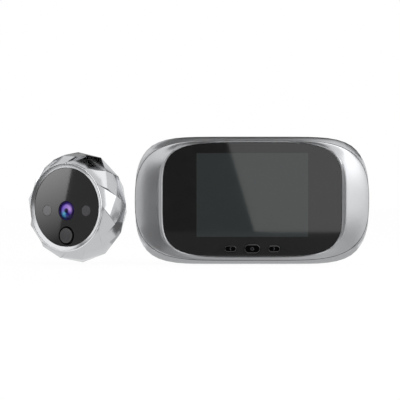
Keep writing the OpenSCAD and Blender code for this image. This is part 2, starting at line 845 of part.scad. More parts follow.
module lens_holder() {
    color("#202022") outdoor_frame() translate([0, -lens_drop, 0]) difference() {
        block(cam_board_front_z, [holder_w, holder_w, holder_h]);
        rod(cam_board_front_z - 1, holder_h + 2, thread_r + run_gap);
        block(cam_board_front_z - 1, [sensor_w + 1, sensor_w + 1, 1 + sensor_t + 0.3]);
    }
}

module image_sensor() {
    color("#404858") outdoor_frame()
        block(cam_board_front_z, [sensor_w, sensor_w, sensor_t], 0, -lens_drop);
}

module camera_board() {
    color("darkgreen") outdoor_frame() difference() {
        rod(cam_board_z, board_t, plate_r - move_gap);
        at_posts() rod(cam_board_z - 1, board_t + 2, plate_screw_r + run_gap);
    }
}

module ir_windows() {
    color("#3a2030") outdoor_frame() for (sx = [-1, 1])
        rod(face_rear_z, face_t, ir_r, sx * ir_x, -lens_drop);
}

module ir_leds() {
    led_top = face_rear_z - move_gap;
    color("#504858") outdoor_frame() for (sx = [-1, 1]) translate([sx * ir_x, -lens_drop, 0]) {
        translate([0, 0, led_top - led_r]) sphere(r = led_r);
        rod(led_top - led_l, led_l - led_r, led_r);
        for (leg = [-1, 1])
            rod(cam_board_front_z, led_top - led_l - cam_board_front_z, leg_r, leg * 1.27);
    }
}

module bell_button() {
    cap_z = face_rear_z - move_gap;
    color("#505052") outdoor_frame() translate([0, -bell_drop, 0]) {
        rod(cap_z, face_front_z - cap_z + 0.1, bell_r);
        rod(cap_z - bell_flange_t, bell_flange_t, bell_r + flange);
        rod(bell_stem_z, cap_z - bell_stem_z, bell_stem_r);
    }
}

module bell_switch() {
    color("#404040") outdoor_frame()
        block(cam_board_front_z, [bell_switch_w, bell_switch_w, bell_switch_h], 0, -bell_drop);
}

module back_plate() {
    color("#38383a") outdoor_frame() difference() {
        union() {
            rod(plate_z, back_t, plate_r);
            at_posts() rod(plate_z, cam_board_z - plate_z, dome_post_r);
        }
        rod(plate_z - 1, back_t + 2, socket_flange_r + run_gap);
        at_posts() {
            rod(plate_z - 1, cam_board_z, plate_screw_r + run_gap);
            rod(plate_z - 1, plate_head_h + 1, plate_head_r + seat_gap);
        }
    }
}

module back_plate_screws() {
    color("dimgray") outdoor_frame() at_posts()
        screw(plate_z + plate_head_h, cam_board_front_z + plate_screw_hold - plate_z - plate_head_h,
            plate_screw_r, plate_head_r, plate_head_h);
}

module threaded_socket() {
    socket_top_z = cam_board_z - move_gap;
    color("goldenrod") outdoor_frame() difference() {
        union() {
            rod(gasket_t / 2, socket_top_z - gasket_t / 2, socket_flange_r);
            rod(tube_z, 1, socket_flange_r + 1.6);
        }
        rod(-1, socket_top_z + 2, socket_r);
    }
}

module outdoor_socket() {
    socket_t = move_gap - seat_gap / 3;
    color("ivory") outdoor_frame()
        block(cam_board_z - socket_t, [out_socket_w, out_socket_h, socket_t]);
}

module door_gasket() {
    color("#28282a") outdoor_frame() difference() {
        rod(0, gasket_t, dome_bore_r + 0.6);
        rod(-1, gasket_t + 2, socket_flange_r + seat_gap);
    }
}

front_bezel();
front_glass();
lcd_panel();
lcd_backlight();
main_board();
board_chips();
cable_socket();
key_switches();
left_key();
power_key();
right_key();
speaker();
rear_housing();
battery_door();
battery_cells();
battery_contacts();
housing_screws();
board_screws();
door_bracket();
faceted_shell();
face_ring();
face_cover();
lens_barrel();
front_lens();
lens_holder();
image_sensor();
camera_board();
ir_windows();
ir_leds();
bell_button();
bell_switch();
back_plate();
back_plate_screws();
threaded_socket();
outdoor_socket();
door_gasket();
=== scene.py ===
"""Peephole door camera: the looks of its indoor monitor and outdoor unit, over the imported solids."""

import json
import math

import bmesh
import bpy
from bpy.props import FloatProperty, FloatVectorProperty, IntProperty, PointerProperty
from bpy.types import Operator, Panel, PropertyGroup
from mathutils import Matrix, Vector


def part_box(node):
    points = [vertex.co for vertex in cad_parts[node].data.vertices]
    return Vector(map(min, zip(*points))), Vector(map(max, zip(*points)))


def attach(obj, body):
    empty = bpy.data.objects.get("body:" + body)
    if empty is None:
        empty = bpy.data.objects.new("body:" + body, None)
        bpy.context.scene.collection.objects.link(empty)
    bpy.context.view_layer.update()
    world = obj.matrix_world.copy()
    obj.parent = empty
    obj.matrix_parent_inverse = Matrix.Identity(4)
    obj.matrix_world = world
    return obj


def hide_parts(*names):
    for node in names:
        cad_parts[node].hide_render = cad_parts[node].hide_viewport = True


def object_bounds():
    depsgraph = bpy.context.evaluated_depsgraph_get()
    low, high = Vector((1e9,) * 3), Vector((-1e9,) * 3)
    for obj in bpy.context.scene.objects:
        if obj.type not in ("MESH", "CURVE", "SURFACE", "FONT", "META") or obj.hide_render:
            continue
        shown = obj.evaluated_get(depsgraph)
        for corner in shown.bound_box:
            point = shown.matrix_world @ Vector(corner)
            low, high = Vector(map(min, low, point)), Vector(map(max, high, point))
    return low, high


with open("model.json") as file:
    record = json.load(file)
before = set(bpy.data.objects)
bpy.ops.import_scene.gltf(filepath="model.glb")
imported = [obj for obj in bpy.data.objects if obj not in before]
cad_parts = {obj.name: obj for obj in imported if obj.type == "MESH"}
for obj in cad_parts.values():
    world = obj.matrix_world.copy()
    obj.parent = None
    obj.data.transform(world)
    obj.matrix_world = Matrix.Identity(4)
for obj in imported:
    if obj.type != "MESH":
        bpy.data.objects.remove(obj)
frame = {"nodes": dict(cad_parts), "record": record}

bl_info = {
    "name": "Peephole door camera",
    "version": (1, 0, 0),
    "blender": (4, 5, 0),
    "location": "View3D > Sidebar > Door camera",
    "description": "Builds the finish of a door camera's monitor and outdoor unit",
    "category": "Object",
}

CAD_BOX = [list(corner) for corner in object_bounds()]
MM = 0.001
MERGED_MM = 1e-4  # points of a new piece that are closer than this become one


def mm_box(node):
    """Lowest and highest corner of a CAD node in millimetres."""
    return [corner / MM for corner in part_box(node)]


# The pieces are made in millimetres in two frames, with X to the right, Y up and Z towards the viewer.
# Monitor: its frame stands in the middle of the bezel's width, on the door
BEZEL_LOW, BEZEL_HIGH = mm_box("front_bezel")
GLASS_LOW, GLASS_HIGH = mm_box("front_glass")
MONITOR_X = (BEZEL_LOW.x + BEZEL_HIGH.x) / 2
FRONT_TO_ROW = Matrix(((1, 0, 0, 0), (0, 0, -1, 0), (0, 1, 0, 0), (0, 0, 0, 1)))
SHRINK = Matrix.Scale(MM, 4)
MONITOR = SHRINK @ Matrix.Translation((MONITOR_X, 0, 0)) @ FRONT_TO_ROW

# Outdoor unit: its frame is turned to the left and stands on its door face
MOUNTS = {mount["name"]: mount for mount in frame["record"]["mounts"]}
DOORWARD = Vector(MOUNTS["gasket_face"]["axis"])
GASKET_MIDDLE = sum(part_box("door_gasket"), Vector()) / 2
DOOR_POINT = Vector(MOUNTS["gasket_face"]["pos_m"])
REAR_MIDDLE = GASKET_MIDDLE - DOORWARD * (GASKET_MIDDLE - DOOR_POINT).dot(DOORWARD)
YAW = math.atan2(DOORWARD.x, DOORWARD.y)
OUTDOOR = Matrix.Translation(REAR_MIDDLE) @ Matrix.Rotation(-YAW, 4, "Z") @ FRONT_TO_ROW @ SHRINK


def outdoor_depth(node):
    """Front-most height of a CAD node above the outdoor unit's door face, in millimetres."""
    points = (vertex.co for vertex in frame["nodes"][node].data.vertices)
    return max((DOOR_POINT - point).dot(DOORWARD) for point in points) / MM


def outdoor_middle(node):
    """Place of a CAD node's middle in the outdoor unit's frame, in millimetres."""
    return OUTDOOR.inverted() @ (sum(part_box(node), Vector()) / 2)


def radius_of(node):
    """Radius of a round CAD node of the outdoor unit, in millimetres."""
    low, high = mm_box(node)
    return (high.z - low.z) / 2


def linear(hex_colour, alpha=True):
    """An sRGB hex colour as the linear values that Blender's sockets take."""
    code = hex_colour.lstrip("#")
    channels = [int(code[i:i + 2], 16) / 255 for i in (0, 2, 4)]
    values = [c / 12.92 if c <= 0.04045 else ((c + 0.055) / 1.055) ** 2.4 for c in channels]
    return (*values, 1.0) if alpha else tuple(values)


def per_metre(size_mm):
    """Texture scale at which one feature of a pattern measures size_mm."""
    return 1 / (size_mm * MM)


def colour(name, description, hex_colour):
    """A colour that a user may change."""
    return FloatVectorProperty(
        name=name, description=description, subtype="COLOR", size=3, min=0, max=1,
        default=linear(hex_colour, alpha=False))


def length(name, description, size_mm):
    """A length that a user may change."""
    return FloatProperty(
        name=name, description=description, unit="LENGTH", subtype="DISTANCE", min=0,
        default=size_mm * MM)


def squareness(name, outline, powers):
    """The two powers of a superellipse that a user may change."""
    return FloatVectorProperty(
        name=name, description=f"Superellipse powers of {outline}, across and up", size=2,
        default=powers)


class MonitorSettings(PropertyGroup):
    bezel_rise: length("Bezel rise", "Height of the bezel over the parting line", 6.5)
    lip_side: length("Lip at the sides", "Width of the lip beside the glass", 2.7)
    lip_top: length("Lip at the top", "Width of the lip above and below the glass", 0.75)
    lip_round: length("Lip rounding", "Height of the rounding on the lip's outer edge", 2.2)
    edge_height: length("Edge height", "Upright edge of the bezel at the parting line", 0.8)
    groove: length("Parting groove", "Depth and height of the groove at the parting line", 0.3)
    seal_proud: length("Seal", "How far the seal in the parting line stands out", 0.25)
    picture_width: length("Picture width", "Width of the display's picture area", 57.6)
    picture_height: length("Picture height", "Height of the display's picture area", 43.2)
    edge_powers: squareness("Edge squareness", "the bezel's edge", (5, 2.6))
    lip_powers: squareness("Lip squareness", "the lip's outline", (4, 4))
    glass_powers: squareness("Glass squareness", "the glass outline", (4.5, 4.5))
    ring_points: IntProperty(
        name="Outline points", description="Points round the bezel's outline", default=240)


class FinishSettings(PropertyGroup):
    silver: colour("Silver paint", "Silver paint of the bezel and the housing", "#c9cacc")
    plating: colour("Plating", "Chrome plating of the faceted shell", "#bfc0c2")
    trim: colour("Trim", "Bright chrome plating of the trim ring", "#e6e7e9")
    panel: colour("Black panel", "Black of the front glass and the round face", "#222223")
    picture: colour("Picture area", "Switched off display behind the glass", "#363a3a")
    key: colour("Keys", "Black of the three keys", "#070708")
    key_print: colour("Key print", "Grey print on the keys", "#4c4d50")
    bell: colour("Bell button", "Grey of the bell button's cap", "#48484a")
    filter: colour("Infrared windows", "Plum grey of the infrared windows", "#535155")
    steel: colour("Bracket", "Zinc plated steel of the bracket", "#b9bbba")


def settings():
    """The scene's sizes of the monitor and colours of the finishes."""
    scene = bpy.context.scene
    return scene.door_camera_monitor, scene.door_camera_finish


def add(tree, kind, inputs=(), feeds=None, **options):
    """Adds one node, a shader's by its kind without the prefix, sets its options, sets or links its
    inputs, by number where names repeat, and may feed a socket. A node gives its first output."""
    node = tree.nodes.new("ShaderNode" + kind if tree.type == "SHADER" else kind)
    for option, value in options.items():
        setattr(node, option, value)
    for key, value in dict(inputs).items():
        if isinstance(value, bpy.types.Node):
            value = value.outputs[0]
        if isinstance(value, bpy.types.NodeSocket):
            tree.links.new(value, node.inputs[key])
        else:
            node.inputs[key].default_value = value
    if feeds:
        tree.links.new(node.outputs[0], feeds)
    return node


def calc(tree, operation, *values):
    """A Math node over values, sockets or nodes."""
    return add(tree, "Math", enumerate(values), operation=operation)


def mix(tree, share, low, high, shader=None):
    """Blends two colours by a share, for a shader's colour if there is one; returns the blend."""
    blend = add(tree, "Mix", {0: share, 6: low, 7: high}, data_type="RGBA").outputs[2]
    if shader:
        tree.links.new(blend, shader.inputs["Base Color"])
    return blend


def bump(tree, pattern, height_mm, shader):
    """Raises a pattern on a shader's surface."""
    add(tree, "Bump", {"Strength": 1.0, "Distance": height_mm * MM, "Height": pattern},
        shader.inputs["Normal"])


def empty_tree(owner):
    """The node tree of a material or a world, with nothing in it."""
    owner.use_nodes = True
    owner.node_tree.nodes.clear()
    return owner.node_tree


def surface(name, sockets):
    """A material with a Principled shader; returns it with its tree, shader and Object coordinates."""
    material = bpy.data.materials.new(name)
    tree = empty_tree(material)
    shader = add(tree, "BsdfPrincipled", sockets)
    add(tree, "OutputMaterial", {"Surface": shader})
    place = add(tree, "TexCoord").outputs["Object"]
    return material, tree, shader, place


def shade(value, times):
    """A colour made darker or lighter, with its alpha."""
    return (*(min(1.0, c * times) for c in value[:3]), 1.0)


def grain(tree, shader, place, size_mm, roughness, spread, height_mm):
    """Breaks up a surface: roughness that wanders by spread, and a bump of the same grain."""
    noise = add(tree, "TexNoise", {"Vector": place, "Scale": per_metre(size_mm), "Detail": 2.0})
    add(tree, "MapRange", {
        "Value": noise, 3: roughness - spread, 4: roughness + spread}, shader.inputs["Roughness"])
    bump(tree, noise, height_mm, shader)
    return noise


def grained(name, base, grain_mm, roughness, spread, height_mm, contrast, optics):
    """A material whose colour, roughness and bump wander with the grain of the real surface."""
    sockets = optics if isinstance(optics, dict) else {"IOR": optics}
    material, tree, shader, place = surface(name, sockets)
    noise = grain(tree, shader, place, grain_mm, roughness, spread, height_mm)
    mix(tree, noise, shade(base, 1 - contrast), shade(base, 1 + contrast), shader)
    return material


def plain_finishes(finish):
    """Finishes that one grain describes. Each row has the name that the pieces use, the material, its
    colour, the grain in mm, the roughness, how far it wanders, the height of the bump in mm, the
    contrast of the colour, and the index of refraction or other sockets."""
    metal = {"Metallic": 1.0}
    rows = (
        # Sprayed silver lacquer on moulded ABS: fine metal flake and a faint orange peel
        ("silver", "silver_painted_abs", finish.silver, 0.35, 0.32, 0.03, 0.001, 0.05,
         {"Metallic": 0.9}),
        # Polished die casting under chrome: clear reflections with a slight waviness
        ("plating", "chrome_plated_zinc", finish.plating, 6, 0.17, 0.02, 0.002, 0.03, metal),
        # Turned and polished trim under chrome: brighter than the casting
        ("chrome", "polished_chrome", finish.trim, 1.5, 0.2, 0.03, 0.0005, 0.03, metal),
        # Acrylic printed black on its back: deep gloss with a very faint polishing haze
        ("acrylic", "black_backed_acrylic", finish.panel, 9, 0.035, 0.012, 0.0002, 0.1, 1.49),
        # Moulded rubber: dull black with a fine matt grain from the tool
        ("rubber", "moulded_black_rubber", linear("#161617"), 0.4, 0.62, 0.08, 0.006, 0.2, 1.52),
        # Lacquered ABS: piano gloss with faint sink marks
        ("key", "lacquered_black_abs", finish.key, 3, 0.04, 0.015, 0.0003, 0.15,
         {"IOR": 1.53, "Coat Weight": 1.0, "Coat Roughness": 0.03}),
        # Pad printed ink: flat grey, a little uneven in cover
        ("ink", "grey_pad_print", finish.key_print, 0.2, 0.55, 0.06, 0.002, 0.12, 1.5),
        # Spark eroded ABS: matt grey with a sandy texture that catches light
        ("bell", "textured_grey_abs", finish.bell, 0.6, 0.42, 0.08, 0.03, 0.3, 1.53),
        # Unpolished ABS of the keys' dishes and the bell's recess: dull black that takes almost no
        # light, partly its own black and partly painted shade, as its reflection is almost taken away so
        # that both stay dark
        ("seat", "dull_black_abs", linear("#040404"), 0.5, 0.6, 0.06, 0.004, 0.2, 1.08),
        # Violet anodised ring that clamps the lens: dark, with a bright line along its bead
        ("clamp", "violet_anodised_aluminium", linear("#352760"), 0.4, 0.2, 0.04, 0.001, 0.1, metal),
        # Spark eroded ABS of the hidden side: black with a fine even texture
        ("black", "textured_black_abs", linear("#1d1d1e"), 0.3, 0.5, 0.07, 0.008, 0.15, 1.53),
        # Transfer moulded epoxy of the chips: dull charcoal
        ("epoxy", "moulded_epoxy", linear("#232425"), 0.15, 0.58, 0.06, 0.003, 0.12, 1.55),
        # Injection moulded nylon of the cable sockets: ivory with a soft gloss
        ("nylon", "moulded_nylon", linear("#dcd8cb"), 0.6, 0.42, 0.05, 0.003, 0.05, 1.53),
        # Zinc plated screws: bright grey with fine forging marks
        ("screw", "zinc_plated_screw_steel", linear("#a9abac"), 0.25, 0.32, 0.08, 0.004, 0.1, metal),
        # Nickel plated spring steel: smooth and slightly yellow
        ("spring", "nickel_plated_spring_steel", linear("#c6c1b6"), 0.8, 0.24, 0.05, 0.001, 0.05, metal),
        # Turned brass: warm, with fine tool marks
        ("brass", "turned_brass", linear("#c9a452"), 0.2, 0.28, 0.06, 0.003, 0.08, metal),
        # Shrink sleeve of a battery cell: glossy blue grey film
        ("sleeve", "printed_shrink_sleeve", linear("#4f6170"), 2.5, 0.22, 0.04, 0.002, 0.06, 1.5),
        # Bare white end band of the sleeve: the same film without its ink
        ("band", "white_sleeve_band", linear("#d3d4d1"), 1.2, 0.27, 0.05, 0.002, 0.05, 1.5),
        # Pressed paper of the speaker cone: fibrous and black
        ("paper", "pressed_paper_cone", linear("#202020"), 0.5, 0.78, 0.08, 0.02, 0.25, 1.45),
        # Infrared filter acrylic: dark plum grey that looks a shade lighter than the face
        ("filter", "infrared_filter_acrylic", finish.filter, 1.4, 0.06, 0.02, 0.0006, 0.08, 1.49),
        # Clear epoxy of the infrared lamps: glassy with a violet cast
        ("lamp", "cast_violet_epoxy", linear("#6a6078"), 0.9, 0.12, 0.03, 0.001, 0.08, 1.54),
        # Bare display glass with its dark polariser film
        ("polariser", "polariser_film", linear("#35373b"), 4, 0.1, 0.03, 0.0004, 0.06, 1.5),
        # White reflector film of the backlight tray
        ("reflector", "white_reflector_film", linear("#dfe0e0"), 0.5, 0.6, 0.06, 0.002, 0.04, 1.49),
        # Cover glass of the image sensor: blue green over fine wiring
        ("sensor", "sensor_cover_glass", linear("#2c4450"), 0.1, 0.08, 0.03, 0.0005, 0.3, 1.52),
    )
    return {name: grained(*row) for name, *row in rows}


def display_acrylic(monitor, finish):
    # The black acrylic with a clear window in its print: the dark display shows behind it
    material, tree, shader, place = surface("display_acrylic", {"IOR": 1.49})
    noise = grain(tree, shader, place, size_mm=9, roughness=0.03, spread=0.01, height_mm=0.0002)
    middle = sum(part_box("lcd_panel"), Vector()) / 2
    offset = add(tree, "Mapping", {"Vector": place, "Location": (-middle.x, 0, -middle.z)})
    axes = add(tree, "SeparateXYZ", {0: offset})
    inside = []
    blur = 0.1 * MM
    for axis, size in (("X", monitor.picture_width), ("Z", monitor.picture_height)):
        away = calc(tree, "ABSOLUTE", axes.outputs[axis])
        inside.append(add(tree, "MapRange", {
            "Value": away, 1: size / 2 - blur, 2: size / 2 + blur, 3: 1.0, 4: 0.0}))
    window = calc(tree, "MULTIPLY", *inside)
    black = mix(tree, noise, shade(finish.panel, 0.9), shade(finish.panel, 1.1))
    mix(tree, window, black, shade(finish.picture, 1), shader)
    return material


def ramp(tree, share, stops):
    """A colour ramp over a share, with its stops from pairs of position and hex colour."""
    node = add(tree, "ValToRGB", {0: share})
    elements = node.color_ramp.elements
    while len(elements) < len(stops):
        elements.new(1.0)
    for element, (position, hex_colour) in zip(elements, stops):
        element.position = position
        element.color = linear(hex_colour)
    return node


def lens_place(tree, place):
    """Object coordinates seen from the lens axis: the split axes, and the distance from the axis."""
    lens = outdoor_middle("front_lens")
    local = add(tree, "Mapping", {
        "Vector": place, "Location": OUTDOOR @ Vector((lens.x, lens.y, 0)),
        "Rotation": OUTDOOR.to_euler()}, vector_type="TEXTURE")
    axes = add(tree, "SeparateXYZ", {0: local})
    across = add(tree, "CombineXYZ", {0: axes.outputs["X"], 1: axes.outputs["Y"]})
    away = add(tree, "VectorMath", {0: across}, operation="LENGTH")
    return axes, away.outputs["Value"]


def lens_glass_painted_reflections():
    # Multi coated lens: the purple and blue colours round the dark pupil are painted reflections of the
    # coating, lighter or darker by the side of the lens they lie on, with little real glare. The pupil's
    # near-black is painted shade of the lens's dark inside. The pupil and the ring round it blend into
    # the next colours between these shares of the radius.
    pupil_edge, ring_edge = (0.2, 0.36), (0.62, 0.86)
    material, tree, shader, place = surface("lens_glass_painted_reflections", {"IOR": 1.3, "Roughness": 0.03})
    axes, away = lens_place(tree, place)
    reach = calc(tree, "DIVIDE", away, radius_of("front_lens") * MM)
    turn = calc(tree, "ARCTAN2", axes.outputs["Y"], axes.outputs["X"])
    share = add(tree, "MapRange", {"Value": turn, 1: -math.pi, 2: math.pi})
    # Painted reflections of the coating, by the turn round the lens axis: near the pupil, and towards
    # the rim
    inner = ramp(tree, share, (
        (0.0, "#8a80e0"), (0.12, "#72cbee"), (0.25, "#2c3a98"), (0.36, "#2c1c78"), (0.46, "#9c78dc"),
        (0.55, "#d4acfc"), (0.65, "#c8a0fa"), (0.75, "#b894f8"), (0.88, "#987af0"), (1.0, "#8a80e0")))
    outer = ramp(tree, share, (
        (0.0, "#5a34a8"), (0.12, "#3a8cc0"), (0.25, "#101050"), (0.38, "#0c0630"), (0.5, "#1c0c48"),
        (0.62, "#4a2c98"), (0.75, "#3c2488"), (0.88, "#4e36a6"), (1.0, "#5a34a8")))
    edge = add(tree, "MapRange", {"Value": reach, 1: ring_edge[0], 2: ring_edge[1]})
    rings = mix(tree, edge, inner, outer)
    # Painted shade of the lens's dark inside: the pupil's near-black
    pupil = add(tree, "MapRange", {"Value": reach, 1: pupil_edge[0], 2: pupil_edge[1]})
    mix(tree, pupil, linear("#080830"), rings, shader)
    return material


def black_anodised_aluminium():
    # Turned and anodised barrel: satin black with fine rings from the lathe
    ring_mm, ring_height_mm, smoothest, roughest = 0.25, 0.004, 0.26, 0.4
    material, tree, shader, place = surface(
        "black_anodised_aluminium", {"Base Color": linear("#141416"), "IOR": 1.6})
    away = lens_place(tree, place)[1]
    rings = calc(tree, "MULTIPLY", away, math.tau * per_metre(ring_mm))
    wave = calc(tree, "SINE", rings)
    add(tree, "MapRange", {
        "Value": wave, 1: -1.0, 3: smoothest, 4: roughest}, shader.inputs["Roughness"])
    bump(tree, wave, ring_height_mm, shader)
    return material


def zinc_plated_sheet(finish):
    # Zinc plated sheet steel: cool grey with the patchy spangle of the plating
    spangle_mm, dark, light = 3.5, 0.86, 1.06
    material, tree, shader, place = surface("zinc_plated_sheet", {"Metallic": 1.0})
    grain(tree, shader, place, size_mm=0.5, roughness=0.36, spread=0.07, height_mm=0.003)
    spangle = add(tree, "TexVoronoi", {"Vector": place, "Scale": per_metre(spangle_mm)})
    mix(tree, spangle.outputs["Distance"], shade(finish.steel, dark), shade(finish.steel, light),
        shader)
    return material


def glass_epoxy_laminate():
    # Circuit board: green solder mask over raised copper tracks, drawn 0.8 mm wide so they show.
    # The gaps of a brick pattern are the tracks, and its sizes are shares of one cell.
    cell_mm, copper_mm = 8, 0.03
    material, tree, shader, place = surface("glass_epoxy_laminate", {"IOR": 1.55, "Roughness": 0.3})
    laid = add(tree, "Mapping", {"Vector": place, "Rotation": (math.radians(90), 0, 0)})
    tracks = add(tree, "TexBrick", {
        "Vector": laid, "Scale": per_metre(cell_mm), "Mortar Size": 0.05, "Brick Width": 0.9,
        "Row Height": 0.24, "Color1": linear("#0d4a2b"), "Color2": linear("#0b4226"),
        "Mortar": linear("#2b7d4a")}, shader.inputs["Base Color"])
    bump(tree, tracks.outputs["Fac"], copper_mm, shader)
    return material


def shade_by_angle(piece, degrees):
    """Shades a piece smooth and keeps its edges over an angle sharp, by geometry nodes."""
    name = f"shade_by_{degrees}_degrees"
    tree = bpy.data.node_groups.get(name)
    if not tree:
        tree = bpy.data.node_groups.new(name, "GeometryNodeTree")
        for way in ("INPUT", "OUTPUT"):
            tree.interface.new_socket("Geometry", in_out=way, socket_type="NodeSocketGeometry")
        start = add(tree, "NodeGroupInput")
        angle = add(tree, "GeometryNodeInputMeshEdgeAngle")
        sharp = add(tree, "FunctionNodeCompare", {0: angle, 1: math.radians(degrees)},
                    data_type="FLOAT", operation="GREATER_THAN")
        smooth = add(tree, "GeometryNodeSetShadeSmooth", {
            "Geometry": start, "Shade Smooth": True}, domain="FACE")
        split = add(tree, "GeometryNodeSetShadeSmooth", {
            "Geometry": smooth, "Selection": sharp, "Shade Smooth": False},
            domain="EDGE")
        add(tree, "NodeGroupOutput", {0: split})
    piece.modifiers.new("shade", "NODES").node_group = tree


def ease_edges(piece, rounding_mm, sharp=12, segments=2):
    """Joins the triangles of a CAD node, breaks its sharp edges and shades its round faces smooth."""
    same_point, least_angle = 1e-6, 10
    piece.modifiers.new("join", "WELD").merge_threshold = same_point
    if rounding_mm:
        bevel = piece.modifiers.new("round", "BEVEL")
        bevel.width = rounding_mm * MM
        bevel.segments = segments
        bevel.limit_method = "ANGLE"
        bevel.angle_limit = math.radians(least_angle)
    shade_by_angle(piece, sharp)


FINISHES = {}

# Finish of each CAD node that stays in view, rounding of its edges in mm and, where they aren't as in
# ease_edges, the angle in degrees over which an edge stays sharp and the steps of the rounding
NODE_FINISH = {
    "rear_housing": ("silver", 0, 30), "battery_door": ("silver", 0.3),
    "faceted_shell": ("plating", 0.25, 30, 1), "face_cover": ("acrylic", 0.12),
    "front_glass": ("display", 0.15), "door_gasket": ("rubber", 0.2), "back_plate": ("black", 0.2),
    "lens_holder": ("black", 0.2), "key_switches": ("black", 0.1), "bell_switch": ("black", 0.2),
    "board_chips": ("epoxy", 0.1), "cable_socket": ("nylon", 0.15), "outdoor_socket": ("nylon", 0.05),
    "main_board": ("board", 0.1), "camera_board": ("board", 0.1), "lcd_panel": ("polariser", 0.1),
    "lcd_backlight": ("reflector", 0.1), "speaker": ("paper", 0.2), "housing_screws": ("screw", 0.12),
    "board_screws": ("screw", 0.12), "back_plate_screws": ("screw", 0.12),
    "battery_contacts": ("spring", 0.08), "door_bracket": ("zinc", 0.15), "lens_barrel": ("barrel", 0.1),
    "ir_windows": ("filter", 0.1), "ir_leds": ("lamp", 0, 30), "image_sensor": ("sensor", 0.1),
}


class DOORCAM_OT_finishes(Operator):
    """Gives each CAD node that stays in view the finish of its real material"""
    bl_idname = "doorcam.finishes"
    bl_label = "Finishes"

    def execute(self, context):
        monitor, finish = settings()
        FINISHES.update(
            plain_finishes(finish), display=display_acrylic(monitor, finish), lens=lens_glass_painted_reflections(),
            barrel=black_anodised_aluminium(), zinc=zinc_plated_sheet(finish),
            board=glass_epoxy_laminate())
        for node, (name, *edges) in NODE_FINISH.items():
            piece = frame["nodes"][node]
            piece.data.materials.clear()
            piece.data.materials.append(FINISHES[name])
            ease_edges(piece, *edges)
        return {"FINISHED"}


def add_object(bm, name, *materials):
    """Makes a bmesh an object of the scene with these materials."""
    mesh = bpy.data.meshes.new(name)
    for material in materials:
        mesh.materials.append(material)
    bm.to_mesh(mesh)
    bm.free()
    made = bpy.data.objects.new(name, mesh)
    bpy.context.scene.collection.objects.link(made)
    return made


def keep(bm, name, body, frame_matrix, *finishes, sharp=30):
    """Turns a bmesh in a unit's frame into a piece on a body, with its edges over an angle sharp."""
    bmesh.ops.transform(bm, matrix=frame_matrix, verts=bm.verts)
    bmesh.ops.recalc_face_normals(bm, faces=bm.faces)
    for face in bm.faces:
        face.smooth = True
    piece = add_object(bm, name, *(FINISHES[finish] for finish in finishes))
    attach(piece, body)
    if sharp:
        shade_by_angle(piece, sharp)
    return piece


def superellipse(turn, z, a, b, powers, rise):
    """Point on a rounded outline at an angle, found from the square round it inwards."""
    rounds = 12
    c, s = math.cos(turn), math.sin(turn)
    across, up = powers
    reach = 1 / max(abs(c), abs(s))
    for _ in range(rounds):
        x, y = abs(reach * c) ** across, abs(reach * s) ** up
        reach *= 1 - (x + y - 1) / (across * x + up * y)
    return reach * a * c, reach * b * s + rise, z


def swept(rings, points):
    """A closed skin through rounded outlines: each ring is extruded from the one before."""
    bm = bmesh.new()
    turn_of = bm.verts.layers.float.new("turn")
    made = bmesh.ops.create_circle(bm, segments=points, radius=1)
    for vertex in made["verts"]:
        vertex[turn_of] = math.atan2(vertex.co.y, vertex.co.x)
        vertex.co = superellipse(vertex[turn_of], *rings[0])
    loops = [list({edge for vertex in made["verts"] for edge in vertex.link_edges})]
    for ring in rings[1:]:
        made = bmesh.ops.extrude_edge_only(bm, edges=loops[-1])
        fresh = {item for item in made["geom"] if isinstance(item, bmesh.types.BMVert)}
        for vertex in fresh:
            vertex.co = superellipse(vertex[turn_of], *ring)
        loops.append([item for item in made["geom"] if isinstance(item, bmesh.types.BMEdge)
                      and fresh.issuperset(item.verts)])
    bmesh.ops.bridge_loops(bm, edges=loops[0] + loops[-1])
    return bm


